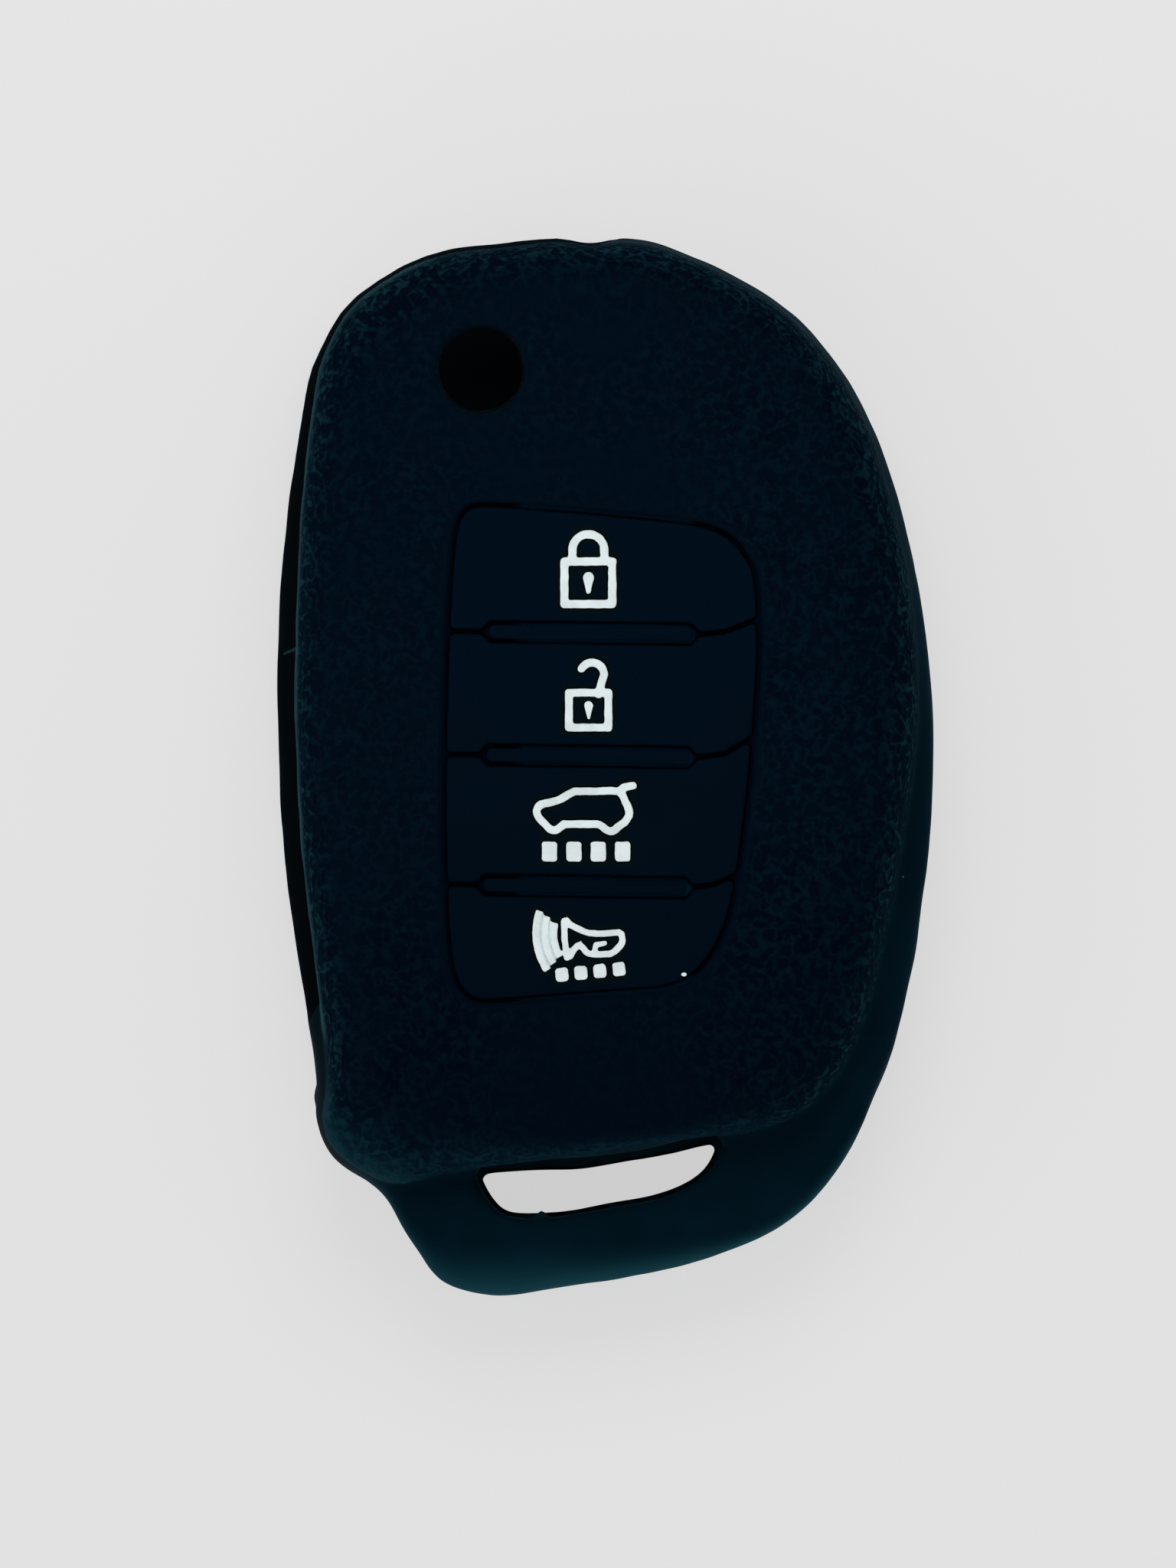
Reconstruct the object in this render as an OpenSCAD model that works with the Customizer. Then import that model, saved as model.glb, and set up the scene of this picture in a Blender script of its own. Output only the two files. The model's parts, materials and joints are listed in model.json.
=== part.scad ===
// Silicone cover for a flip key fob, lying on its back.
// The front, with its four press pads, faces +Z and the key-ring tail points to -Y.

/* [Sleeve] */
// Width across the rim
body_w = 50.9; // [48:0.1:54]
// Length from the top of the rim to the end of the tail
body_l = 82.1; // [80:0.1:88]
// Thickness from the back to the top of the face
body_t = 19; // [17.5:0.5:22]
// Thickness of the silicone wall
wall = 1.8; // [1.5:0.1:2]
// Height of the tail, and of the ledge round the face, above the back
ledge_z = 12; // [11:0.5:12.3]
// Radius where the back turns up into the sides
back_round = 2.8; // [2:0.1:3]
// Radius of the ledge's outer edge
ledge_round = 1.6; // [1:0.1:2]
// Rise of the concave crease at the foot of the face
crease_rise = 0.3; // [0.2:0.1:0.5]
// Height of the crowned edge of the face
crown_h = 4.2; // [3:0.1:5]
// Draft of the upright wall under the crown
wall_draft = 0.15; // [0:0.05:0.3]

/* [Blade slot] */
// Opening of the blade slot, from its back lip to its front lip
slot_h = 7.7; // [7.5:0.1:8.2]
// Height of the back lip above the back
back_lip_z = 5; // [4.8:0.1:5.3]
// Where the slot ends on the left side
slot_end_y = -20; // [-22:0.5:-10]
// Where the slot ends along the top
slot_end_x = 1; // [-4:0.5:6]

/* [Flip button hole] */
// Diameter of the hole over the fob's flip button
flip_d = 6.5; // [5.5:0.1:7]
// Width of the softened edge round the hole
flip_edge = 0.4; // [0.2:0.1:0.6]
// Place of the hole across the cover
flip_x = -9.6; // [-10.5:0.1:-8]
// Place of the hole along the cover
flip_y = 30.7; // [30:0.1:31.5]

/* [Key-ring slot] */
// Width of the slot in the back wall of the tail
ring_slot_w = 18; // [14:0.5:19]
// Height of the slot where it curves, both edges included
ring_slot_h = 5.3; // [4.5:0.1:5.5]
// Place of the slot's centre across the cover
ring_slot_x = -0.5; // [-2:0.1:1]
// Distance of the slot's centre from the end of the tail
ring_slot_up = 9.05; // [8.75:0.05:9.25]
// How far the front opening reaches past the back one
ring_slot_lip = 0.6; // [0.3:0.1:0.8]

/* [Keypad] */
// Width of the keypad's outline
keypad_w = 24.4; // [22:0.1:26]
// Length of the keypad's outline
keypad_l = 38.4; // [35:0.1:40]
// Place of the keypad's centre across the cover
keypad_x = -0.3; // [-1:0.1:1]
// Place of the keypad's centre along the cover
keypad_y = 1.05; // [0:0.05:2]
// Width of the grooves round the pads and the bars
groove_w = 0.36; // [0.3:0.02:0.5]
// Width of the divider bars
bar_w = 1.02; // [0.8:0.02:1.2]
// Length of the divider bars
bar_l = 15.7; // [14:0.1:17]
// Radius of the pads' corners
pad_corner = 0.35; // [0.2:0.05:0.6]
// Chamfer round the top of each pad
pad_chamfer = 0.14; // [0.1:0.01:0.2]
// Thickness of the web at the bottom of the grooves
web_t = 0.45; // [0.3:0.05:0.6]
// How far the web reaches under the sleeve's wall
web_seat = 0.8; // [0.6:0.1:1.2]
// Running gap between the web and a pad
web_gap = 0.1; // [0.08:0.01:0.15]

/* [Symbols] */
// Depth of a white inlay in its pad
inlay_depth = 0.5; // [0.3:0.05:0.8]
// How far a white inlay stands above its pad
inlay_proud = 0.1; // [0.05:0.01:0.2]
// Width of the white lines of the padlocks and the car
line_w = 0.7; // [0.6:0.02:0.8]
// Width of the closed padlock's body
lock_w = 4.4; // [4:0.1:5]
// Height of the closed padlock's body
lock_h = 4; // [3.5:0.1:4.2]
// Width of the open padlock's body
unlock_w = 3.75; // [3.5:0.1:4.5]
// Height of the open padlock's body
unlock_h = 3.4; // [3.2:0.1:4]
// Width of the car
car_w = 7.85; // [7:0.1:8.5]
// Height of the car without its open tailgate
car_h = 3.8; // [3.6:0.1:4.2]
// Width of the horn without its waves
horn_w = 5.05; // [4.6:0.1:5.3]
// Height of the horn
horn_h = 3.35; // [3:0.1:3.5]
// Width of the white lines of the horn
horn_line_w = 0.56; // [0.5:0.01:0.6]
// Width of the hand's line inside the horn
grip_w = 0.48; // [0.4:0.01:0.55]
// Width of each of the horn's waves
wave_w = 0.68; // [0.66:0.01:0.75]
// Rounding at the ends of the waves
wave_round = 0.15; // [0.1:0.01:0.2]
// Width of the row of marks under the car
car_mark_w = 6.95; // [6:0.1:7.5]
// Height of the marks under the car
car_mark_h = 1.65; // [1.4:0.05:1.7]
// Width of the row of marks under the horn
horn_mark_w = 5.5; // [5:0.1:5.8]
// Height of the marks under the horn
horn_mark_h = 1.15; // [0.9:0.05:1.2]
// Rounding of the marks' corners
mark_round = 0.3; // [0.2:0.05:0.4]

/* [Hidden] */

// Cuts run past the faces that they open by this much.
overrun = wall;
// Points between two stations of an outline, and of a symbol's outline.
outline_steps = 3;
symbol_steps = 2;
// Sides of the cone that chamfers the pads, of rounded corners and of a true round.
chamfer_fn = 12;
corner_fn = 24;
round_fn = 72;

silicone = [0.02, 0.055, 0.085];
pad_silicone = [0.025, 0.06, 0.095];
inlay_white = [0.86, 0.89, 0.89];

// Heights that follow from the wall.
cavity_top_z = body_t - wall;
crown_z = body_t - crown_h;
web_top_z = cavity_top_z + web_t;

// Outer rim at its stations, from the middle of the left side down and round, as shares of
// half the width and half the length.
rim_shares = [
    [-1, 0.116], [-0.982, -0.153], [-0.925, -0.401], [-0.878, -0.595], [-0.88, -0.667],
    [-0.829, -0.74], [-0.683, -0.803], [-0.609, -0.88], [-0.497, -0.973], [-0.335, -1],
    [-0.138, -0.984], [0.142, -0.956], [0.406, -0.909], [0.575, -0.851], [0.715, -0.756],
    [0.818, -0.626], [0.908, -0.462], [0.983, -0.182], [1, 0.071], [0.982, 0.225],
    [0.939, 0.39], [0.86, 0.57], [0.743, 0.728], [0.577, 0.852], [0.387, 0.929],
    [0.176, 0.985], [0.054, 0.998], [-0.044, 0.991], [-0.146, 1], [-0.333, 0.989],
    [-0.547, 0.967], [-0.758, 0.89], [-0.87, 0.789], [-0.919, 0.685], [-0.954, 0.546],
    [-0.989, 0.331]];

// Foot of the face at the same stations. It leaves the rim where the tail begins.
face_shares = [
    [-0.947, 0.115], [-0.927, -0.154], [-0.881, -0.398], [-0.843, -0.594], [-0.862, -0.664],
    [-0.815, -0.731], [-0.657, -0.786], [-0.519, -0.77], [-0.389, -0.76], [-0.248, -0.75],
    [-0.059, -0.733], [0.129, -0.716], [0.322, -0.701], [0.5, -0.677], [0.655, -0.624],
    [0.745, -0.544], [0.818, -0.415], [0.902, -0.166], [0.948, 0.069], [0.949, 0.222],
    [0.913, 0.385], [0.841, 0.564], [0.73, 0.721], [0.57, 0.845], [0.383, 0.921],
    [0.174, 0.977], [0.052, 0.99], [-0.043, 0.983], [-0.145, 0.992], [-0.33, 0.98],
    [-0.542, 0.959], [-0.749, 0.884], [-0.856, 0.784], [-0.892, 0.681], [-0.921, 0.542],
    [-0.94, 0.33]];

// Flat middle of the face: a superellipse, with its centre and half sizes as shares of the
// sleeve's half width and half length.
cap_centre_share = [-0.012, 0.085];
cap_size_share = [0.69, 0.756];
cap_power = 2.4;

// The two cutters at the ends of the blade slot stop short of the cover's middle, at this
// share of its width and its length.
slot_stop_share = 0.33;

// Keypad outline from its upper left corner down and round, as shares of half its size.
keypad_shares = [
    [-0.76, 1], [-0.88, 0.966], [-0.932, 0.868], [-0.965, 0.622], [-0.988, 0.268],
    [-1, -0.15], [-0.988, -0.555], [-0.965, -0.794], [-0.918, -0.922], [-0.811, -0.992],
    [-0.656, -1], [-0.205, -0.977], [0.238, -0.956], [0.377, -0.95], [0.553, -0.909],
    [0.689, -0.82], [0.799, -0.68], [0.869, -0.482], [0.922, -0.227], [0.967, 0.055],
    [1, 0.411], [0.988, 0.654], [0.955, 0.753], [0.844, 0.852], [0.689, 0.909],
    [0.467, 0.935], [0, 0.966], [-0.4, 0.986]];

// Centre lines of the three dividers, from left to right, as shares of half the keypad's size.
// A line is straight as far as the bar and then curves up to the right side.
divider_shares = [
    [[-1.2, 0.492], [0.61, 0.477], [0.78, 0.487], [0.9, 0.515], [1.2, 0.6]],
    [[-1.2, -0.004], [0.6, -0.02], [0.78, -0.005], [0.9, 0.04], [1.2, 0.16]],
    [[-1.2, -0.528], [0.56, -0.545], [0.72, -0.53], [0.82, -0.5], [1.2, -0.36]]];
// Middle of each bar along its line, as a share of half the keypad's width.
bar_middle_shares = [-0.067, -0.082, -0.105];
// A bar's pointed end: its length and the width of its blunt tip, as shares of the bar's width.
bar_tip_share = 0.25;
bar_blunt_share = 0.5;

// Places of the symbols, as shares of half the keypad's size from its centre.
lock_share = [-0.082, 0.685];
unlock_share = [-0.08, 0.172];
car_share = [-0.116, -0.236];
horn_share = [-0.052, -0.752];
car_mark_share = [-0.096, -0.398];
horn_mark_share = [-0.069, -0.883];
// The row under the horn climbs to the right.
horn_mark_tilt = 5.5;

// Key-ring slot as shares of half its size.
ring_slot_shares = [
    [-1, -0.02], [-0.92, 0.15], [-0.5, 0.24], [-0.05, 0.33], [0.45, 0.6], [0.96, 0.98],
    [0.99, 0.7], [0.86, 0.12], [0.6, -0.38], [0.17, -0.68], [-0.34, -0.97], [-0.72, -1],
    [-0.88, -0.7]];

// Closed padlock's shackle, as shares of its body's width: its outer radius and its rise.
shackle_radius_share = 0.36;
shackle_rise_share = 0.12;
// Keyhole, as shares of the body's height: its round top, its tip and its reach.
keyhole_top_share = 0.115;
keyhole_tip_share = 0.05;
keyhole_up_share = 0.1;
keyhole_down_share = 0.17;
// Open padlock: outer radius, place and turn of its hook, and foot of its one leg.
hook_radius_share = 0.34;
hook_share = [0.07, 0.81];
hook_angle = 150;
hook_foot_share = [0.2, 0.36];

// Centre line of the car's outline, as shares of half its size.
car_shares = [
    [-1, -0.08], [-0.985, 0.16], [-0.9, 0.35], [-0.726, 0.44], [-0.55, 0.55], [-0.39, 0.735],
    [-0.227, 0.94], [-0.12, 1], [0.3, 1], [0.77, 1], [0.906, 0.54], [0.99, 0.11],
    [0.996, -0.22], [0.896, -0.55], [0.75, -0.79], [0.678, -0.95], [0.584, -1], [0.48, -0.88],
    [0.356, -0.66], [0.2, -0.64], [-0.331, -0.64], [-0.424, -0.67], [-0.538, -0.88],
    [-0.611, -0.94], [-0.705, -0.9], [-0.83, -0.62], [-0.954, -0.31]];
// The open tailgate, from its hinge to its tip.
tailgate_shares = [[0.77, 1], [0.896, 1.2], [1.08, 1.28]];

// Centre line of the horn's outline, as shares of half its size from its middle.
horn_shares = [
    [-1, 1], [-0.778, 0.805], [-0.45, 0.549], [-0.142, 0.36], [0.413, 0.32], [0.885, 0.39],
    [1, 0.165], [0.996, -0.205], [0.823, -0.54], [0.577, -0.8], [-0.039, -0.82],
    [-0.244, -0.69], [-0.45, -0.31], [-0.655, -0.54], [-0.9, -1]];
// The hand that squeezes the horn.
grip_shares = [[0.06, -0.55], [0.105, -0.3], [0.39, -0.22]];
// Waves at the horn's mouth: outer radius and place, as shares of the horn's height, and
// the angles between which they run.
wave_radius_shares = [1.26, 1.457, 1.653];
wave_centre_share = [0.24, 0.147];
wave_from = [167.5, 163, 160.5];
wave_to = [209, 212, 214];

// Gaps between the four marks of a row, as a share of the mark's height.
mark_gap_share = 0.36;
mark_count = 4;

// A point of a smooth curve through p1 and p2, at the fraction t between them.
function curve_point(p0, p1, p2, p3, t) =
    (2 * p1 + (p2 - p0) * t + (2 * p0 - 5 * p1 + 4 * p2 - p3) * pow(t, 2)
        + (3 * p1 - p0 - 3 * p2 + p3) * pow(t, 3)) / 2;

// A closed smooth curve through the given points.
function smooth_loop(points, steps) =
    let (n = len(points))
    [for (i = [0:n - 1]) for (k = [0:steps - 1])
        curve_point(points[(i + n - 1) % n], points[i], points[(i + 1) % n], points[(i + 2) % n],
            k / steps)];

// Shares turned into lengths by half of the width and half of the length.
function sized(shares, w, l) = [for (s = shares) [s.x * w / 2, s.y * l / 2]];

// A counter-clockwise loop moved inwards.
function inset(loop, distance) =
    let (n = len(loop))
    [for (i = [0:n - 1])
        let (along = loop[(i + 1) % n] - loop[(i + n - 1) % n])
        loop[i] + [-along.y, along.x] / norm(along) * distance];

// Each point of one loop moved towards the same point of another, by at most the given part
// of the way.
function toward(loop, goal, distance, most) =
    [for (i = [0:len(loop) - 1])
        let (way = goal[i] - loop[i])
        loop[i] + way * min(distance / norm(way), most)];

function mixed(loop, goal, part) = [for (i = [0:len(loop) - 1]) loop[i] + (goal[i] - loop[i]) * part];
function lifted(loop, z) = [for (p = loop) [p.x, p.y, z]];

rim = smooth_loop(sized(rim_shares, body_w, body_l), outline_steps);
face = smooth_loop(sized(face_shares, body_w, body_l), outline_steps);
cap_centre = [cap_centre_share.x * body_w / 2, cap_centre_share.y * body_l / 2];
cap_size = [cap_size_share.x * body_w / 2, cap_size_share.y * body_l / 2];
cap = [for (p = face)
    let (way = (p - cap_centre) / norm(p - cap_centre))
    cap_centre + way * pow(pow(abs(way.x) / cap_size.x, cap_power)
        + pow(abs(way.y) / cap_size.y, cap_power), -1 / cap_power)];

// The ledge's round takes at most this share of a narrow ledge.
ledge_share = 0.6;
outer_rings = concat(
    [for (a = [0:18:90])
        lifted(inset(rim, back_round * (1 - sin(a))), back_round * (1 - cos(a)))],
    [for (a = [0:30:90])
        lifted(toward(rim, face, ledge_round * (1 - cos(a)), ledge_share),
            ledge_z - ledge_round * (1 - sin(a)))],
    [lifted(face, ledge_z + crease_rise)],
    [for (a = [0:15:90])
        lifted(mixed(inset(face, wall_draft), cap, 1 - cos(a)), crown_z + crown_h * sin(a))]);

// The hollow follows the outside at one wall's distance.
inner_round = back_round - wall / 2;
inner_crown_z = crown_z - wall / 3;
hollow_rings = concat(
    [for (a = [0:30:90])
        lifted(inset(rim, wall + inner_round * (1 - sin(a))), wall + inner_round * (1 - cos(a)))],
    [lifted(inset(rim, wall), ledge_z - wall - ledge_round / 2)],
    [lifted(inset(rim, wall + ledge_round / 2), ledge_z - wall)],
    [lifted(inset(face, wall), ledge_z - wall + crease_rise)],
    [for (a = [0:22.5:90])
        lifted(mixed(inset(face, wall + wall_draft), cap, 1 - cos(a)),
            inner_crown_z + (cavity_top_z - inner_crown_z) * sin(a))]);

// A closed skin over rings that lie one above the other.
module loft(rings) {
    n = len(rings[0]);
    points = [for (ring = rings) each ring];
    sides = [for (i = [0:len(rings) - 2]) for (k = [0:n - 1])
        let (a = i * n + k, b = i * n + (k + 1) % n)
        each [[a, a + n, b + n], [a, b + n, b]]];
    bottom = [for (k = [0:n - 1]) k];
    top = [for (k = [n - 1:-1:0]) (len(rings) - 1) * n + k];
    polyhedron(points = points, faces = concat([bottom], sides, [top]), convexity = 10);
}

module sleeve() {
    color(silicone)
        difference() {
            loft(outer_rings);
            loft(hollow_rings);
            blade_slot();
            flip_button_hole();
            ring_slot();
            keypad_window();
        }
}

// The slot runs up the left side and over the top, and its two ends are round.
module blade_slot() {
    end_r = slot_h / 2;
    translate([-body_w, slot_end_y + end_r, back_lip_z])
        cube([body_w + slot_end_x - end_r, body_l, slot_h]);
    translate([-body_w, slot_end_y + end_r, back_lip_z + end_r])
        rotate([0, 90, 0])
            cylinder(h = body_w * (1 - slot_stop_share), r = end_r, $fn = round_fn);
    translate([slot_end_x - end_r, body_l, back_lip_z + end_r])
        rotate([90, 0, 0])
            cylinder(h = body_l * (1 - slot_stop_share), r = end_r, $fn = round_fn);
}

module flip_button_hole() {
    translate([flip_x, flip_y, cavity_top_z - overrun])
        cylinder(h = wall + 2 * overrun, d = flip_d, $fn = round_fn);
    translate([flip_x, flip_y, body_t - flip_edge])
        cylinder(h = 2 * flip_edge, d1 = flip_d, d2 = flip_d + 4 * flip_edge, $fn = round_fn);
}

module ring_slot_outline() {
    translate([ring_slot_x, ring_slot_up - body_l / 2])
        polygon(smooth_loop(sized(ring_slot_shares, ring_slot_w, ring_slot_h), outline_steps));
}

// The opening in the back wall is the smaller one, so its lip shows through the front one.
module ring_slot() {
    translate([0, 0, -overrun])
        linear_extrude(height = wall + 2 * overrun)
            ring_slot_outline();
    translate([0, ring_slot_lip / 2, ledge_z - wall - ledge_round])
        linear_extrude(height = wall + ledge_round + overrun)
            offset(r = ring_slot_lip)
                ring_slot_outline();
}

module keypad_outline() {
    translate([keypad_x, keypad_y])
        polygon(smooth_loop(sized(keypad_shares, keypad_w, keypad_l), outline_steps));
}

// The window through the wall, and the step in its underside that holds the web.
module keypad_window() {
    translate([0, 0, cavity_top_z - overrun])
        linear_extrude(height = wall + 2 * overrun)
            offset(delta = groove_w / 2)
                keypad_outline();
    translate([0, 0, cavity_top_z - overrun])
        linear_extrude(height = overrun + web_t)
            offset(delta = groove_w / 2 + web_seat)
                keypad_outline();
}

function divider_line(i) =
    [for (s = divider_shares[i]) [keypad_x + s.x * keypad_w / 2, keypad_y + s.y * keypad_l / 2]];

// Height of a divider's straight stretch at the given place across the keypad.
function line_y(i, x) =
    let (a = divider_line(i)[0], b = divider_line(i)[1])
    a.y + (b.y - a.y) * (x - a.x) / (b.x - a.x);

// The line's own band: its points moved up, and back again moved down.
function line_band(points, w) =
    concat([for (p = points) [p.x, p.y + w / 2]],
        [for (k = [len(points) - 1:-1:0]) [points[k].x, points[k].y - w / 2]]);

// A bar lies along its line and comes to a blunt point at each end.
module bar_outline(i, grow) {
    middle_x = keypad_x + bar_middle_shares[i] * keypad_w / 2;
    a = divider_line(i)[0];
    b = divider_line(i)[1];
    half_l = bar_l / 2 + grow;
    half_w = bar_w / 2 + grow;
    tip = half_w * 2 * bar_tip_share;
    blunt = half_w * bar_blunt_share;
    translate([middle_x, line_y(i, middle_x)])
        rotate(atan2(b.y - a.y, b.x - a.x))
            polygon([[-half_l, blunt], [-half_l + tip, half_w], [half_l - tip, half_w],
                [half_l, blunt], [half_l, -blunt], [half_l - tip, -half_w],
                [-half_l + tip, -half_w], [-half_l, -blunt]]);
}

module divider_bar(i) {
    color(silicone)
        translate([0, 0, web_top_z])
            linear_extrude(height = body_t - web_top_z)
                bar_outline(i, 0);
}

module divider_bar_upper() {
    divider_bar(0);
}

module divider_bar_middle() {
    divider_bar(1);
}

module divider_bar_lower() {
    divider_bar(2);
}

// The part of the keypad between two dividers, where 0 is above the first one.
module pad_band(i) {
    above = i == 0
        ? [[keypad_x + keypad_w, keypad_y + keypad_l], [keypad_x - keypad_w, keypad_y + keypad_l]]
        : [for (k = [len(divider_line(i - 1)) - 1:-1:0]) divider_line(i - 1)[k]];
    below = i == len(divider_shares)
        ? [[keypad_x - keypad_w, keypad_y - keypad_l], [keypad_x + keypad_w, keypad_y - keypad_l]]
        : divider_line(i);
    polygon(concat(below, above));
}

module pad_outline(i) {
    offset(r = pad_corner, $fn = corner_fn)
        offset(delta = -pad_corner)
            difference() {
                intersection() {
                    offset(delta = -groove_w / 2)
                        keypad_outline();
                    pad_band(i);
                }
                for (k = [0:len(divider_shares) - 1]) {
                    polygon(line_band(divider_line(k), groove_w));
                    bar_outline(k, groove_w);
                }
            }
}

// A pad is as thick as the wall round it. A small cone, run round a smaller pad, gives the
// full outline with a chamfered top edge.
module pad(i) {
    translate([0, 0, cavity_top_z])
        minkowski() {
            linear_extrude(height = wall - pad_chamfer)
                offset(delta = -pad_chamfer)
                    pad_outline(i);
            cylinder(h = pad_chamfer, r1 = pad_chamfer, r2 = 0, $fn = chamfer_fn);
        }
}

// The pocket in a pad that a white inlay fills.
module pocket() {
    translate([0, 0, body_t - inlay_depth])
        linear_extrude(height = inlay_depth + overrun)
            children();
}

// A white inlay stands a little above its pad.
module inlay() {
    color(inlay_white)
        translate([0, 0, body_t - inlay_depth])
            linear_extrude(height = inlay_depth + inlay_proud)
                children();
}

module lock_button() {
    color(pad_silicone)
        difference() {
            pad(0);
            pocket() lock_sign();
        }
}

module unlock_button() {
    color(pad_silicone)
        difference() {
            pad(1);
            pocket() unlock_sign();
        }
}

module tailgate_button() {
    color(pad_silicone)
        difference() {
            pad(2);
            pocket() car_sign();
            pocket() car_marks();
        }
}

module horn_button() {
    color(pad_silicone)
        difference() {
            pad(3);
            pocket() horn_sign();
            pocket() horn_marks();
        }
}

// The web is one thin sheet under the grooves, with a hole for each pad.
module keypad_web() {
    color(silicone)
        translate([0, 0, cavity_top_z])
            linear_extrude(height = web_t)
                difference() {
                    offset(delta = groove_w / 2 + web_seat)
                        keypad_outline();
                    for (i = [0:len(divider_shares)])
                        offset(delta = web_gap)
                            pad_outline(i);
                }
}

// A band of the given width along a closed outline.
module outlined(points, w) {
    difference() {
        offset(r = w / 2, $fn = corner_fn)
            polygon(points);
        offset(delta = -w / 2)
            polygon(points);
    }
}

// A round-ended stroke of the given width through the points.
module stroke(points, w) {
    for (k = [0:len(points) - 2])
        hull() {
            translate(points[k])
                circle(d = w, $fn = corner_fn);
            translate(points[k + 1])
                circle(d = w, $fn = corner_fn);
        }
}

// Part of a ring of the given width, open at both ends.
module arc(r, from, to, w) {
    reach = 2 * r;
    middle = (from + to) / 2;
    intersection() {
        difference() {
            circle(r = r, $fn = round_fn);
            circle(r = r - w, $fn = round_fn);
        }
        polygon([[0, 0], reach * [cos(from), sin(from)],
            reach * [cos((from + middle) / 2), sin((from + middle) / 2)],
            reach * [cos(middle), sin(middle)],
            reach * [cos((middle + to) / 2), sin((middle + to) / 2)],
            reach * [cos(to), sin(to)]]);
    }
}

module lock_body(w, h) {
    outlined(sized([[-1, -1], [1, -1], [1, 1], [-1, 1]], w - line_w, h - line_w), line_w);
    hull() {
        translate([0, h * keyhole_up_share])
            circle(r = h * keyhole_top_share, $fn = corner_fn);
        translate([0, -h * keyhole_down_share])
            circle(r = h * keyhole_tip_share, $fn = corner_fn);
    }
}

module closed_padlock() {
    r = lock_w * shackle_radius_share;
    rise = lock_w * shackle_rise_share;
    lock_body(lock_w, lock_h);
    translate([0, lock_h / 2 + rise])
        arc(r, 0, 180, line_w);
    for (side = [-1, 1])
        translate([side * (r - line_w / 2) - line_w / 2, lock_h / 2 - line_w / 2])
            square([line_w, rise + line_w / 2]);
}

// The shackle has turned away from the body: one leg holds it, and its free end is round.
module open_padlock() {
    r = unlock_w * hook_radius_share;
    centre = [hook_share.x * unlock_w, hook_share.y * unlock_h];
    foot = [hook_foot_share.x * unlock_w, hook_foot_share.y * unlock_h];
    middle_r = r - line_w / 2;
    lock_body(unlock_w, unlock_h);
    translate(centre)
        arc(r, 0, hook_angle, line_w);
    stroke([centre + [middle_r, 0], foot], line_w);
    for (end = [0, hook_angle])
        translate(centre + middle_r * [cos(end), sin(end)])
            circle(d = line_w, $fn = corner_fn);
}

module hatchback() {
    outlined(smooth_loop(sized(car_shares, car_w - line_w, car_h - line_w), symbol_steps), line_w);
    stroke(sized(tailgate_shares, car_w - line_w, car_h - line_w), line_w);
}

module horn() {
    w = horn_w - horn_line_w;
    h = horn_h - horn_line_w;
    outlined(smooth_loop(sized(horn_shares, w, h), symbol_steps), horn_line_w);
    stroke(sized(grip_shares, w, h), grip_w);
    waves();
}

// The three waves touch along their lengths and end in steps.
module waves() {
    offset(r = wave_round, $fn = corner_fn)
        offset(delta = -wave_round)
            translate([wave_centre_share.x * horn_h, wave_centre_share.y * horn_h])
                for (k = [0:len(wave_radius_shares) - 1])
                    arc(wave_radius_shares[k] * horn_h, wave_from[k], wave_to[k], wave_w);
}

// Four plain rounded marks, a stand-in for a word.
module marks(row_w, h) {
    gap = mark_gap_share * h;
    w = (row_w - (mark_count - 1) * gap) / mark_count;
    for (k = [0:mark_count - 1])
        translate([-row_w / 2 + w / 2 + k * (w + gap), 0])
            offset(r = mark_round, $fn = corner_fn)
                square([w - 2 * mark_round, h - 2 * mark_round], center = true);
}

module on_keypad(share) {
    translate([keypad_x + share.x * keypad_w / 2, keypad_y + share.y * keypad_l / 2])
        children();
}

module lock_sign() {
    on_keypad(lock_share) closed_padlock();
}

module unlock_sign() {
    on_keypad(unlock_share) open_padlock();
}

module car_sign() {
    on_keypad(car_share) hatchback();
}

module horn_sign() {
    on_keypad(horn_share) horn();
}

module car_marks() {
    on_keypad(car_mark_share) marks(car_mark_w, car_mark_h);
}

module horn_marks() {
    on_keypad(horn_mark_share) rotate(horn_mark_tilt) marks(horn_mark_w, horn_mark_h);
}

module lock_symbol() {
    inlay() lock_sign();
}

module unlock_symbol() {
    inlay() unlock_sign();
}

module tailgate_symbol() {
    inlay() car_sign();
}

module horn_symbol() {
    inlay() horn_sign();
}

module tailgate_hold_mark() {
    inlay() car_marks();
}

module horn_hold_mark() {
    inlay() horn_marks();
}

sleeve();
keypad_web();
divider_bar_upper();
divider_bar_middle();
divider_bar_lower();
lock_button();
unlock_button();
tailgate_button();
horn_button();
lock_symbol();
unlock_symbol();
tailgate_symbol();
horn_symbol();
tailgate_hold_mark();
horn_hold_mark();
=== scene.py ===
# %% [markdown]
# A moulded silicone cover for a flip key fob
#
# The object is one soft moulding: a sleeve that grips a key fob, with four press pads in its
# face, three thin bars between them and white symbols set into the pads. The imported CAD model
# has the true sizes and moves the pads. This lesson dresses it: each solid gets a softened
# skin, because nothing that comes out of a silicone mould has a knife edge, and then a finish.

# %% Load the frame
import json
import math

import bmesh
import bpy
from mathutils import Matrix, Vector, kdtree, noise
from mathutils.bvhtree import BVHTree


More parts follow.
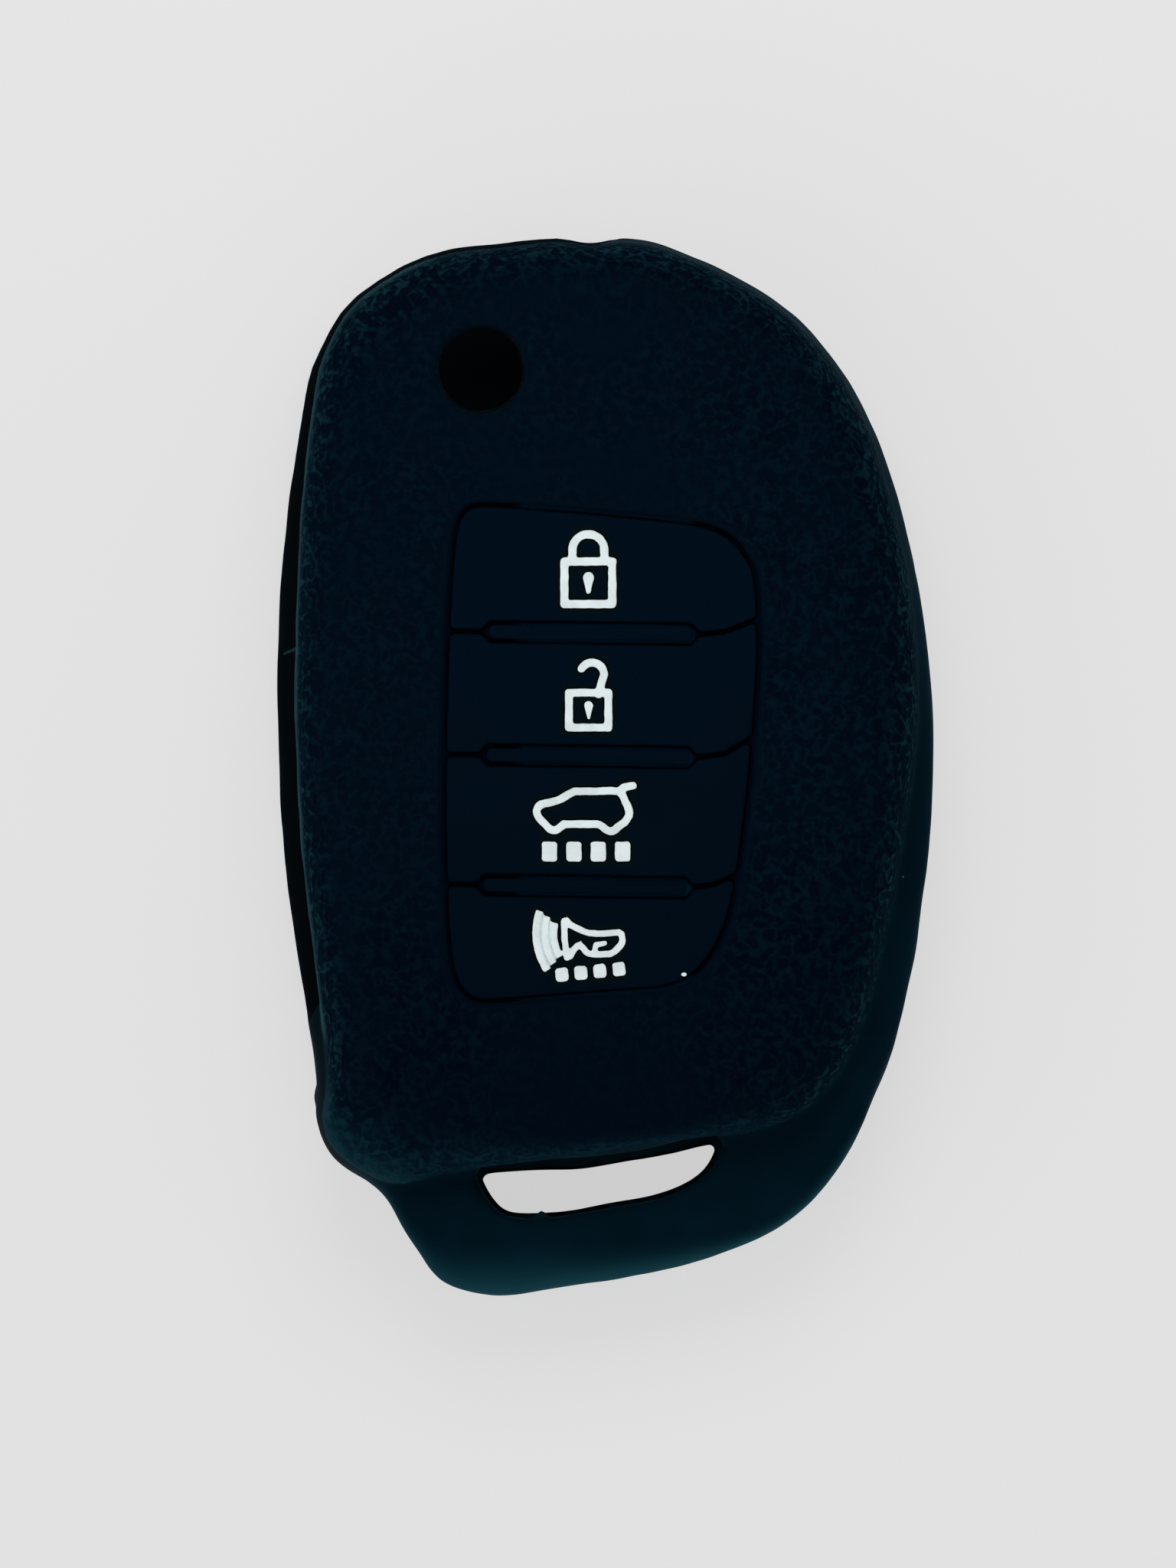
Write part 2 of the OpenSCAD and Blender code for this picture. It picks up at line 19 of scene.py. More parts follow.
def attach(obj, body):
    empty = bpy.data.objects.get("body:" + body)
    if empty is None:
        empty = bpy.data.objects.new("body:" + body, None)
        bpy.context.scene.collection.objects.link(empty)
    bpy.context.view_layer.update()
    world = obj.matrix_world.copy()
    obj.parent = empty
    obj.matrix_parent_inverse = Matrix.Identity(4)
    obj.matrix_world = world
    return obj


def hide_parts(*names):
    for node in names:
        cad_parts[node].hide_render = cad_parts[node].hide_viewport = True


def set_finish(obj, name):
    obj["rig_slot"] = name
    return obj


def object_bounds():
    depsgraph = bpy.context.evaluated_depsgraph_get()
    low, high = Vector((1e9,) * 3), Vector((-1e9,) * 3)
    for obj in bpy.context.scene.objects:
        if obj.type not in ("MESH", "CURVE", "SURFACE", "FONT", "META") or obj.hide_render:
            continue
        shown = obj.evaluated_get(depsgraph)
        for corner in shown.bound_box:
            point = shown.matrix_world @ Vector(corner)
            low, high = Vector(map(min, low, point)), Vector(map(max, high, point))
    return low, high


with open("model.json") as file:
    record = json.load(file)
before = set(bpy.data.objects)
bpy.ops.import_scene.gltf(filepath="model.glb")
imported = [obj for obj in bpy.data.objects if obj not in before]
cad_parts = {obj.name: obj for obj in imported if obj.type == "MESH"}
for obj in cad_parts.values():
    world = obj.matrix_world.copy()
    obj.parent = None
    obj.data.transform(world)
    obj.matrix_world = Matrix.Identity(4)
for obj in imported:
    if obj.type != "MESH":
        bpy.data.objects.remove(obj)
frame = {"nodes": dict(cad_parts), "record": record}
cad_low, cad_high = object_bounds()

MM = 0.001
print("nodes:", ", ".join(sorted(frame["nodes"])))

# %% [markdown]
# Blender may start with a cube, a lamp and a camera of its own. They would spoil the scene and
# the measured box, so they go first, and the CAD box is measured again without them.

# %% Clear what Blender starts with
for name in ("Cube", "Light", "Camera"):
    if name in bpy.data.objects:
        bpy.data.objects.remove(bpy.data.objects[name])
cad_low, cad_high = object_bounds()
print("CAD box, mm:", [round(v / MM, 2) for v in (*cad_low, *cad_high)])

# %% [markdown]
# Working copies
#
# A CAD mesh is loose triangles: every triangle has its own corners. A copy is merged before
# anything else, so that it is one skin. A modifier does its work on the copy, and then its
# result is written into the mesh, so that the finished piece carries no live modifiers.

# %% Helpers for copies and modifiers
def merged_copy(node, name):
    """A new piece with the node's shape, as one joined skin."""
    form = bmesh.new()
    form.from_mesh(frame["nodes"][node].data)
    bmesh.ops.remove_doubles(form, verts=form.verts, dist=0.002 * MM)
    mesh = bpy.data.meshes.new(name)
    form.to_mesh(mesh)
    form.free()
    mesh.materials.clear()
    piece = bpy.data.objects.new(name, mesh)
    bpy.context.scene.collection.objects.link(piece)
    return piece


def work_in(piece):
    """Writes what the piece's modifiers make into its mesh, and drops them."""
    graph = bpy.context.evaluated_depsgraph_get()
    made = bpy.data.meshes.new_from_object(piece.evaluated_get(graph))
    old = piece.data
    piece.modifiers.clear()
    piece.data = made
    bpy.data.meshes.remove(old)
    made.name = piece.name


def triangles(piece):
    return sum(len(face.vertices) - 2 for face in piece.data.polygons)


# %% [markdown]
# A soft skin
#
# In the photo every edge is a little round. A bevel needs clean edge loops, which a cut CAD
# mesh doesn't have. A voxel remesh has no such need: it builds the shape again on a fine grid,
# and a few rounds of smoothing then round every edge by about one cell. The cell is chosen for
# each piece, so that its finest feature is still there.

# %% Helper that softens a piece
def soften(piece, cell, rounds):
    """Remeshes the piece on a grid of this cell size and smooths it."""
    remesh = piece.modifiers.new("skin", "REMESH")
    remesh.mode = "VOXEL"
    remesh.voxel_size = cell
    remesh.use_smooth_shade = True
    smooth = piece.modifiers.new("rounding", "SMOOTH")
    smooth.factor = 0.5
    smooth.iterations = rounds
    work_in(piece)


# %% [markdown]
# Thinning
#
# A fine grid spends as many faces on a flat wall as on an edge. Decimate collapses the ones
# that carry no shape, and keeps a piece light enough to be used in other scenes.

# %% Helper that thins a piece
def thin(piece, most):
    """Collapses faces until the piece has at most this many triangles."""
    now = triangles(piece)
    if now > most:
        collapse = piece.modifiers.new("thinning", "DECIMATE")
        collapse.ratio = most / now
        work_in(piece)
    for face in piece.data.polygons:
        face.use_smooth = True


# %% [markdown]
# The sleeve
#
# It is the large shell: a flat back, a slot up its left side and over its top for the blade,
# a crowned face and a lower tail with the key-ring slot. The CAD crown is made of flat bands.
# They are smoothed hard where the form is free, and hardly at all near an edge that should
# stay. How near a point is to such an edge is read from the CAD copy: every edge that turns
# by more than 40 degrees is sampled into a search tree. The crease at the foot of the face is
# left out, because in the photo the face runs into the rim through a soft hollow.

# %% Find the sleeve's sharp edges
CREASE_Z = (11.7 * MM, 12.5 * MM)


def sharp_edges(piece, degrees, step, wanted):
    """Points along the wanted edges that turn by more than this, in a search tree."""
    form = bmesh.new()
    form.from_mesh(piece.data)
    points = []
    for edge in form.edges:
        a, b = (corner.co for corner in edge.verts)
        if not (wanted(a) and wanted(b)):
            continue
        if len(edge.link_faces) == 2 and edge.calc_face_angle(0) > math.radians(degrees):
            count = max(1, math.ceil((b - a).length / step))
            points += [a.lerp(b, k / count) for k in range(count + 1)]
    form.free()
    tree = kdtree.KDTree(len(points))
    for k, point in enumerate(points):
        tree.insert(point, k)
    tree.balance()
    return tree, len(points)


def off_crease(point):
    return not CREASE_Z[0] < point.z < CREASE_Z[1]


def round_pads(point):
    return point.z > 18 * MM and abs(point.x) < 14 * MM and abs(point.y) < 22 * MM


sleeve = merged_copy("sleeve", "cover_sleeve")
edge_tree, edge_count = sharp_edges(sleeve, 40, 0.3 * MM, off_crease)
pad_tree, pad_count = sharp_edges(sleeve, 40, 0.1 * MM, round_pads)
print("points on sharp edges:", edge_count, "and round the pads:", pad_count)

# %% [markdown]
# The grid cell is a quarter of a millimetre, a little finer than the grooves. The second
# smoothing works through a vertex group: its weight rises from 0 beside an edge to 1 a
# millimetre and a half away from it.

# %% Soften the sleeve
SLEEVE_CELL = 0.27 * MM
HELD_WITHIN = 0.4 * MM
FREED_OVER = 1.1 * MM
soften(sleeve, SLEEVE_CELL, 3)
free = sleeve.vertex_groups.new(name="free")
for corner in sleeve.data.vertices:
    far = edge_tree.find(corner.co)[2]
    weight = min(1.0, max(0.0, (far - HELD_WITHIN) / FREED_OVER))
    free.add([corner.index], weight, "REPLACE")
crown = sleeve.modifiers.new("crown", "SMOOTH")
crown.factor = 0.5
crown.iterations = 40
crown.vertex_group = free.name
work_in(sleeve)
sleeve.vertex_groups.clear()
print("sleeve before thinning:", triangles(sleeve))

# %% [markdown]
# Soft rubber is never quite true
#
# In the photo the lips wander a little, as soft rubber does. A slow noise moves every point
# sideways by up to a tenth of a millimetre. Blender starts this noise from the clock, so it
# gets a fixed seed, and every run wanders in the same way. The edge of the round hole falls
# away steeply, and the end of the tail slopes down, so both are pushed lower by an amount that
# grows smoothly.

# %% Let the lips wander, round the hole and slope the tail
def smooth_step(low, high, value):
    share = min(1.0, max(0.0, (value - low) / (high - low)))
    return share * share * (3 - 2 * share)


WANDER_SEED = 7
WANDER = 0.11 * MM
HOLE = Vector((-9.6 * MM, 30.7 * MM))
HOLE_FALL = 0.55 * MM
TAIL_FALL = 0.9 * MM
noise.seed_set(WANDER_SEED)
for corner in sleeve.data.vertices:
    push = noise.noise_vector(corner.co / (4 * MM)) * WANDER
    corner.co += Vector((push.x, push.y, 0))
    from_hole = (corner.co.xy - HOLE).length
    if from_hole < 4.2 * MM:
        corner.co.z -= (HOLE_FALL * (1 - smooth_step(3.25 * MM, 3.75 * MM, from_hole))
                        * smooth_step(17 * MM, 18.4 * MM, corner.co.z))
    corner.co.z -= (TAIL_FALL * smooth_step(-34.5 * MM, -41.5 * MM, corner.co.y)
                    * smooth_step(6 * MM, 11 * MM, corner.co.z))

# %% [markdown]
# Flash from the mould
#
# Where two halves of a mould meet, a little silicone can creep out, which is called flash.
# Three small marks in the photo are read as flash: a bump where the blade slot ends, a nub in
# the key-ring slot, and a whisker on the slot's front lip, which comes later. The bump and the
# nub are each a pull on the skin round one point, fading out with distance.

# %% Pull the flash out of the rim
def pull(piece, centre, radius, move):
    """Moves the points round a centre, the nearest ones by the whole of the move."""
    centre, move = Vector(centre), Vector(move)
    for corner in piece.data.vertices:
        near = 1 - (corner.co - centre).length / radius
        if near > 0:
            corner.co += move * near * near * (3 - 2 * near)


BUMP = (-22.3 * MM, -25.6 * MM, 6 * MM)
NUB = (-4.95 * MM, -34.95 * MM, 11.2 * MM)
SLEEVE_MOST = 190000
pull(sleeve, BUMP, 1.4 * MM, (-0.25 * MM, 0, 0))
pull(sleeve, NUB, 0.8 * MM, (0, 0.6 * MM, 0))
thin(sleeve, SLEEVE_MOST)
print("sleeve:", triangles(sleeve), "triangles")

# %% [markdown]
# Inside and outside
#
# Seen through the openings the hollow is black, so its walls are painted near black, as shade.
# To know them later, each point looks straight ahead along its normal: where it sees another
# part of the sleeve, it is inside, unless it is on the lip of an opening. The ledge in the
# blade slot counts as nearly inside and gets most of that painted shade. The answer is kept in
# the mesh as an attribute for the material.


# %% Mark the walls of the hollow
LEDGE_Z = (3 * MM, 8 * MM)
LIP_Z = 10.3 * MM


def mark_inside(piece, reach):
    """Writes the attribute "inside": 1 on the hollow's walls, less on the slot's ledge."""
    mesh = piece.data
    skin_tree = BVHTree.FromPolygons([corner.co for corner in mesh.vertices],
                                     [face.vertices for face in mesh.polygons])
    inside = mesh.attributes.new("inside", "FLOAT", "POINT")
    for corner in mesh.vertices:
        seen = skin_tree.ray_cast(corner.co + corner.normal * 0.3 * MM, corner.normal, reach)[0]
        # The slot's ledge gets most of the hollow's painted shade.
        if LEDGE_Z[0] < corner.co.z < LEDGE_Z[1] and corner.normal.z > 0.2:
            inside.data[corner.index].value = 0.75
        elif seen is not None and corner.co.z < LIP_Z:
            inside.data[corner.index].value = 1.0
    return sum(item.value for item in inside.data) / len(mesh.vertices)


print("share of points inside:", round(mark_inside(sleeve, 80 * MM), 3))

# %% [markdown]
# The grain stops just short of the groove round the pads. So each point also keeps how far it
# lies from that groove's edge, as the attribute "from_pads".

# %% Mark the distance from the pads
from_pads = sleeve.data.attributes.new("from_pads", "FLOAT", "POINT")
for corner in sleeve.data.vertices:
    from_pads.data[corner.index].value = pad_tree.find(corner.co)[2]
print("farthest from the pads, mm:", round(max(item.value for item in from_pads.data) / MM, 1))

# %% [markdown]
# The whisker is a thin cone with rounded ends.


# %% Hang the whisker on the slot's lip
def cone(name, foot, tip, foot_radius, tip_radius):
    """A round cone from one point to another, with its ends closed."""
    foot, tip = Vector(foot), Vector(tip)
    form = bmesh.new()
    bmesh.ops.create_cone(form, cap_ends=True, segments=16, radius1=foot_radius,
                          radius2=tip_radius, depth=(tip - foot).length)
    turn = (tip - foot).to_track_quat("Z", "Y").to_matrix()
    bmesh.ops.rotate(form, verts=form.verts, matrix=turn)
    bmesh.ops.translate(form, verts=form.verts, vec=(foot + tip) / 2)
    bmesh.ops.bevel(form, geom=form.edges, offset=tip_radius * 0.6, offset_type="OFFSET",
                    segments=2, profile=0.5, affect="EDGES", material=-1)
    mesh = bpy.data.meshes.new(name)
    form.to_mesh(mesh)
    form.free()
    for face in mesh.polygons:
        face.use_smooth = True
    piece = bpy.data.objects.new(name, mesh)
    bpy.context.scene.collection.objects.link(piece)
    return piece


WHISKER_FOOT = (-23.8 * MM, 9.15 * MM, 12.95 * MM)
WHISKER_TIP = (-24.95 * MM, 8.7 * MM, 12.8 * MM)
whisker = cone("flash_whisker", WHISKER_FOOT, WHISKER_TIP, 0.17 * MM, 0.07 * MM)

# %% [markdown]
# The web and the bars
#
# Under the grooves runs one thin sheet, the web, which lets a pad sink when a thumb presses
# it. Between two pads the web carries a narrow bar. Both are softened on a finer grid.

# %% Soften the web and the bars
WEB_CELL, WEB_MOST = 0.15 * MM, 60000
BAR_CELL, BAR_MOST = 0.09 * MM, 20000
web = merged_copy("keypad_web", "cover_web")
soften(web, WEB_CELL, 2)
thin(web, WEB_MOST)
bars = []
for node in ("divider_bar_upper", "divider_bar_middle", "divider_bar_lower"):
    bar = merged_copy(node, node.replace("divider_", "cover_"))
    soften(bar, BAR_CELL, 4)
    thin(bar, BAR_MOST)
    bars.append(bar)
print("web:", triangles(web), "bars:", [triangles(bar) for bar in bars])

# %% [markdown]
# The pads
#
# Each pad is a thick island in the web with a softly rounded top edge. Its pockets for the
# white symbols stay open, and the inlays fill them.

# %% Soften the pads
PADS = {"lock": "lock_pad", "unlock": "unlock_pad", "tailgate": "tailgate_pad", "horn": "horn_pad"}
PAD_CELL, PAD_MOST = 0.13 * MM, 70000
pads = {}
for key in PADS:
    pads[key] = merged_copy(key + "_button", key + "_pad_skin")
    soften(pads[key], PAD_CELL, 4)
    thin(pads[key], PAD_MOST)
    print(key, "pad:", triangles(pads[key]))

# %% [markdown]
# The white symbols
#
# They are of white silicone and stand a hair above the pads, with edges that wander by a few
# hundredths of a millimetre. After softening, each point is moved sideways by a smooth noise,
# which is the same for all the points above one another. It is drawn inward a little as well,
# by an amount that makes the white cover about as much as it does in the photo. The horn's
# three sound waves run together, with a shallow seam between them on a circle round the
# horn's mouth.

# %% Soften the symbols and make their edges uneven
INLAYS = {
    "lock_symbol": "lock", "unlock_symbol": "unlock", "tailgate_symbol": "tailgate",
    "horn_symbol": "horn", "tailgate_hold_mark": "tailgate", "horn_hold_mark": "horn"}
INLAY_CELL, HORN_CELL, INLAY_MOST = 0.06 * MM, 0.045 * MM, 40000
EDGE_WANDER = 0.035 * MM
DRAWN_IN = {"lock": 0.03 * MM, "unlock": 0.045 * MM, "tailgate": 0.055 * MM, "horn": 0.035 * MM}
WANDER_LENGTH = 0.5 * MM
WAVE_CENTRE = Vector((-0.126 * MM, -12.897 * MM))
SEAM_RADII = (4.21 * MM, 4.87 * MM)
SEAM_DEPTH = 0.2 * MM
SEAM_HALF_WIDTH = 0.1 * MM
WAVES_END_X = -3.55 * MM


def press_seams(corner):
    """Lowers a point of the waves' top where it lies on a seam."""
    if corner.co.x < WAVES_END_X and corner.co.z > FACE_TOP_Z - 0.3 * MM:
        reach = (corner.co.xy - WAVE_CENTRE).length
        off = min(abs(reach - radius) for radius in SEAM_RADII)
        corner.co.z -= SEAM_DEPTH * (1 - smooth_step(0, SEAM_HALF_WIDTH, off))


FACE_TOP_Z = cad_high.z
inlays = {}
for node, key in INLAYS.items():
    inlay = merged_copy(node, node + "_inlay")
    soften(inlay, HORN_CELL if node == "horn_symbol" else INLAY_CELL, 5)
    for corner in inlay.data.vertices:
        if node == "horn_symbol":
            press_seams(corner)
        place = Vector((corner.co.x, corner.co.y, 0)) / WANDER_LENGTH
        push = noise.noise_vector(place) * EDGE_WANDER - corner.normal * DRAWN_IN[key]
        corner.co += Vector((push.x, push.y, 0))
    thin(inlay, INLAY_MOST)
    inlays[node] = inlay
    print(node, triangles(inlay))

# %% [markdown]
# A drop of white
#
# Beside the horn the photo shows a small white dot, which is read as a spilt drop: a flat
# dome, four tenths of a millimetre wide.

# %% Set the drop on the horn's pad
DROP_RADIUS = 0.19 * MM
DROP_STRETCH = (1.1, 0.8, 0.35)
DROP_PLACE = (6.1 * MM, -16.1 * MM, 18.99 * MM)
form = bmesh.new()
bmesh.ops.create_uvsphere(form, u_segments=24, v_segments=12, radius=DROP_RADIUS)
bmesh.ops.scale(form, verts=form.verts, vec=DROP_STRETCH)
bmesh.ops.translate(form, verts=form.verts, vec=DROP_PLACE)
mesh = bpy.data.meshes.new("white_drop")
form.to_mesh(mesh)
form.free()
for face in mesh.polygons:
    face.use_smooth = True
drop = bpy.data.objects.new("white_drop", mesh)
bpy.context.scene.collection.objects.link(drop)
print("drop:", triangles(drop), "triangles")

# %% [markdown]
# The pads have to know where their white is. Each point of a pad keeps its distance from the
# nearest point of a symbol as the attribute "from_white". A bar has no symbol, so all of it is
# far away.

# %% Mark the distance from the white
FAR_AWAY = 10 * MM


def mark_white(piece, symbols):
    """Writes the attribute "from_white": how far each point lies from the nearest symbol."""
    tree = kdtree.KDTree(sum(len(symbol.data.vertices) for symbol in symbols))
    for symbol in symbols:
        for corner in symbol.data.vertices:
            tree.insert(corner.co, corner.index)
    tree.balance()
    from_white = piece.data.attributes.new("from_white", "FLOAT", "POINT")
    for corner in piece.data.vertices:
        found = tree.find(corner.co)[2]
        from_white.data[corner.index].value = FAR_AWAY if found is None else found


for key, pad in pads.items():
    mark_white(pad, [inlay for node, inlay in inlays.items() if INLAYS[node] == key])
for bar in bars:
    mark_white(bar, [])

# %% [markdown]
# Riding
#
# The sleeve, the web and the bars belong to the body that stays still. Each pad and its
# symbols belong to that pad's own body, so they sink together.

# %% Put each piece on its body
still = {sleeve: "sleeve", web: "keypad_web", bars[0]: "divider_bar_upper",
         bars[1]: "divider_bar_middle", bars[2]: "divider_bar_lower"}
for piece, node in still.items():
    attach(piece, "cover")
    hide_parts(node)
    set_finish(piece, "cover_silicone" if node in ("sleeve", "keypad_web") else "pad_silicone")
for key, pad in pads.items():
    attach(pad, PADS[key])
    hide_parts(key + "_button")
    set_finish(pad, "pad_silicone")
for node, inlay in inlays.items():
    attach(inlay, PADS[INLAYS[node]])
    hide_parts(node)
    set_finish(inlay, "white_inlay")
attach(whisker, "cover")
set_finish(whisker, "cover_silicone")
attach(drop, "horn_pad")
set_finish(drop, "white_inlay")
print("pieces that ride:", len(still) + len(pads) + len(inlays) + 2)

# %% [markdown]
# Helpers for materials
#
# A node tree is easier to read when a node, its settings and what feeds it stand on one line.

# %% Helpers that add and join nodes
def add(tree, kind, inputs=None, **settings):
    """A new node with its settings; an input is a number, a colour or another node's socket."""
    node = tree.nodes.new(kind)
    for name, value in settings.items():
        setattr(node, name, value)
    for name, value in (inputs or {}).items():
        if isinstance(value, bpy.types.NodeSocket):
            tree.links.new(value, node.inputs[name])
        else:
            node.inputs[name].default_value = value
    return node


def maths(tree, operation, a, b=0.0):
    return add(tree, "ShaderNodeMath", {0: a, 1: b}, operation=operation).outputs[0]


def ramp(tree, value, low, high, start=0.0, end=1.0):
    """Runs smoothly from start to end while the value goes from low to high."""
    node = add(tree, "ShaderNodeMapRange", {"Value": value, "From Min": low, "From Max": high,
                                            "To Min": start, "To Max": end},
               interpolation_type="SMOOTHSTEP")
    return node.outputs["Result"]


def rises(tree, length, low, high, most=1.0):
    """From 0 to the most while the length goes from low to high millimetres."""
    return ramp(tree, length, low * MM, high * MM, 0.0, most)


def falls(tree, length, low, high, most=1.0):
    """From the most to 0 while the length goes from low to high millimetres."""
    return ramp(tree, length, low * MM, high * MM, most, 0.0)


def mixed(tree, share, a, b):
    node = add(tree, "ShaderNodeMix", data_type="RGBA")
    for socket, value in zip((node.inputs[0], node.inputs[6], node.inputs[7]), (share, a, b)):
        if isinstance(value, bpy.types.NodeSocket):
            tree.links.new(value, socket)
        else:
            socket.default_value = value
    return node.outputs[2]


# %% [markdown]
# What all moulded silicone shows
#
# Even smooth silicone isn't a flat colour. It has slow clouds where it was polished more or
# less in the mould, a very fine tooth, and now and then a speck of lint, which clings to
# rubber. All three materials need it, so it is one node group with named inputs and outputs.

# %% Group: moulded skin
skin = bpy.data.node_groups.new("Moulded skin", "ShaderNodeTree")
for name, kind in (("Place", "NodeSocketVector"), ("Cloud Size", "NodeSocketFloat"),
                   ("Tooth Size", "NodeSocketFloat"), ("Lint Share", "NodeSocketFloat")):
    skin.interface.new_socket(name, in_out="INPUT", socket_type=kind)
for name in ("Clouds", "Tooth", "Lint"):
    skin.interface.new_socket(name, in_out="OUTPUT", socket_type="NodeSocketFloat")
given = skin.nodes.new("NodeGroupInput")
result = skin.nodes.new("NodeGroupOutput")
clouds = add(skin, "ShaderNodeTexNoise", {
    "Vector": given.outputs["Place"], "Detail": 4.0, "Roughness": 0.55,
    "Scale": maths(skin, "DIVIDE", 1.0, given.outputs["Cloud Size"])})
tooth = add(skin, "ShaderNodeTexNoise", {
    "Vector": given.outputs["Place"], "Detail": 3.0, "Roughness": 0.6,
    "Scale": maths(skin, "DIVIDE", 1.0, given.outputs["Tooth Size"])})
lint = add(skin, "ShaderNodeTexVoronoi", {"Vector": given.outputs["Place"], "Scale": 260.0})
chosen = maths(skin, "LESS_THAN", add(skin, "ShaderNodeSeparateColor", {
    "Color": lint.outputs["Color"]}).outputs[0], given.outputs["Lint Share"])
dot = ramp(skin, lint.outputs["Distance"], 0.016, 0.03, 1.0, 0.0)
skin.links.new(clouds.outputs["Fac"], result.inputs["Clouds"])
skin.links.new(tooth.outputs["Fac"], result.inputs["Tooth"])
skin.links.new(maths(skin, "MULTIPLY", chosen, dot), result.inputs["Lint"])
print("group:", skin.name, [item.name for item in skin.interface.items_tree])


# %% [markdown]
# Each of the three materials starts in the same way, with its own sizes for the moulded skin.

# %% Helper that starts a material
def new_material(name, cloud, tooth_size, lint_share, **uniform):
    """A material with its shader, its Object coordinates and its moulded skin."""
    material = bpy.data.materials.new(name)
    material.use_nodes = True
    tree = material.node_tree
    shader = next(n for n in tree.nodes if n.type == "BSDF_PRINCIPLED")
    for socket, value in uniform.items():
        shader.inputs[socket.replace("_", " ")].default_value = value
    place = add(tree, "ShaderNodeTexCoord").outputs["Object"]
    moulded = add(tree, "ShaderNodeGroup", node_tree=skin)
    tree.links.new(place, moulded.inputs["Place"])
    moulded.inputs["Cloud Size"].default_value = cloud
    moulded.inputs["Tooth Size"].default_value = tooth_size
    moulded.inputs["Lint Share"].default_value = lint_share
    return material, tree, shader, place, moulded


# %% [markdown]
# The cover's silicone
#
# It is a navy so dark that it reads as black where nothing shines on it. The face is grained
# like fine leather; the rim, the tail and a narrow border round the pads are smooth. The grain
# is made of small irregular cells with narrow valleys: Voronoi's distance to the edge, read
# through coordinates that a noise has bent. It is deepest on the crowned edge of the face.

# %% Material: cover silicone
# Painted shade and light on the grain: a darker navy for its valleys, a lighter one for its tops.
NAVY_VALLEY_PAINTED_SHADE = (0.0004, 0.0020, 0.0057, 1)
NAVY_TOP_PAINTED_LIGHT = (0.0010, 0.0062, 0.0119, 1)
# Painted light on the groove floor round the pads, and stronger beside the bars.
GROOVE_NAVY_PAINTED_LIGHT = (0.0008, 0.0052, 0.0170, 1)
BAR_GROOVE_NAVY_PAINTED_LIGHT = (0.0020, 0.0380, 0.0850, 1)
# Painted shade on the grooves' walls and edges, on the cover and on the pads.
GROOVE_SIDE_PAINTED_SHADE = (0.0003, 0.0017, 0.0050, 1)
# Painted highlight on the face's foot above the key-ring slot.
FOOT_TEAL_PAINTED_HIGHLIGHT = (0.0022, 0.0150, 0.0250, 1)
# Painted glint on the highest grain tops of the steep crown.
TEAL_GLINT_PAINTED = (0.0040, 0.0210, 0.0270, 1)
SMOOTH_TEAL = (0.0006, 0.0056, 0.0102, 1)
SMOOTH_TEAL_PALE = (0.0009, 0.0078, 0.0144, 1)
# Painted highlight along the blade slot's front lip.
LIP_TEAL_PAINTED_HIGHLIGHT = (0.0140, 0.0500, 0.0560, 1)
# Painted highlight on the lower left corner of the face.
CORNER_TEAL_PAINTED_HIGHLIGHT = (0.0060, 0.0320, 0.0410, 1)
# Painted highlight on the end of the tail.
TAIL_TEAL_PAINTED_HIGHLIGHT = (0.0060, 0.0370, 0.0500, 1)
# Painted shade on the rim at the lower left.
RIM_PAINTED_SHADE = (0.0006, 0.0030, 0.0040, 1)
HOLE_SHADE = (0.0006, 0.0012, 0.0018, 1)
# Painted shade on the walls of the hollow and on the blade slot's ledge.
HOLLOW_BLACK_PAINTED_SHADE = (0.0028, 0.0034, 0.0045, 1)
LINT_GREY = (0.10, 0.12, 0.13, 1)
TEAL_SHINE = (0.12, 0.66, 1.0, 1)
GRAIN_CELL = 0.7 * MM
FACE_FOOT_Z = 12.5 * MM

cover_silicone, tree, shader, place, moulded = new_material(
    "cover silicone", 9 * MM, 0.12 * MM, 0.02,
    Specular_IOR_Level=0.004, Specular_Tint=TEAL_SHINE, Sheen_Weight=0.02,
    Sheen_Roughness=0.5, Sheen_Tint=TEAL_SHINE)
axis = add(tree, "ShaderNodeSeparateXYZ", {"Vector": place})
x, y, z = axis.outputs

# %% [markdown]
# The grain fades out below the foot of the face and beside the groove round the pads. The web
# has no such attribute, so it reads as 0 there, which is right: it lies in the groove.

# %% Where the cover is grained
beside = add(tree, "ShaderNodeAttribute", attribute_name="from_pads").outputs["Fac"]
on_face = ramp(tree, z, FACE_FOOT_Z, FACE_FOOT_Z + 0.7 * MM)
off_pads = rises(tree, beside, 0.15, 0.7)
grained = maths(tree, "MULTIPLY", on_face, off_pads)
on_crown = ramp(tree, z, FACE_TOP_Z - 1.8 * MM, FACE_TOP_Z - 0.3 * MM, 1.0, 0.0)

# %% [markdown]
# The grain itself is pebbles, worm-like ridges and low lumps in one height. In the photo it
# isn't equally strong everywhere: it is weak over the middle line, most of all below the pads,
# and strong toward the sides and on the crown. A slow noise breaks this up.

# %% The height of the grain
bend = add(tree, "ShaderNodeTexNoise", {"Vector": place, "Scale": 1 / (1.1 * MM), "Detail": 2.0})
shift = add(tree, "ShaderNodeVectorMath", {0: bend.outputs["Color"], 1: (0.5, 0.5, 0.5)},
            operation="SUBTRACT").outputs[0]
bent = add(tree, "ShaderNodeVectorMath", {0: shift, 1: (0.5 * MM,) * 3, 2: place},
           operation="MULTIPLY_ADD").outputs[0]
cells = add(tree, "ShaderNodeTexVoronoi", {"Vector": bent, "Scale": 1 / GRAIN_CELL},
            feature="DISTANCE_TO_EDGE")
pebbles = ramp(tree, cells.outputs["Distance"], 0.0, 0.35)
worms = add(tree, "ShaderNodeTexNoise", {"Vector": bent, "Scale": 1 / (1.2 * MM), "Detail": 1.0})
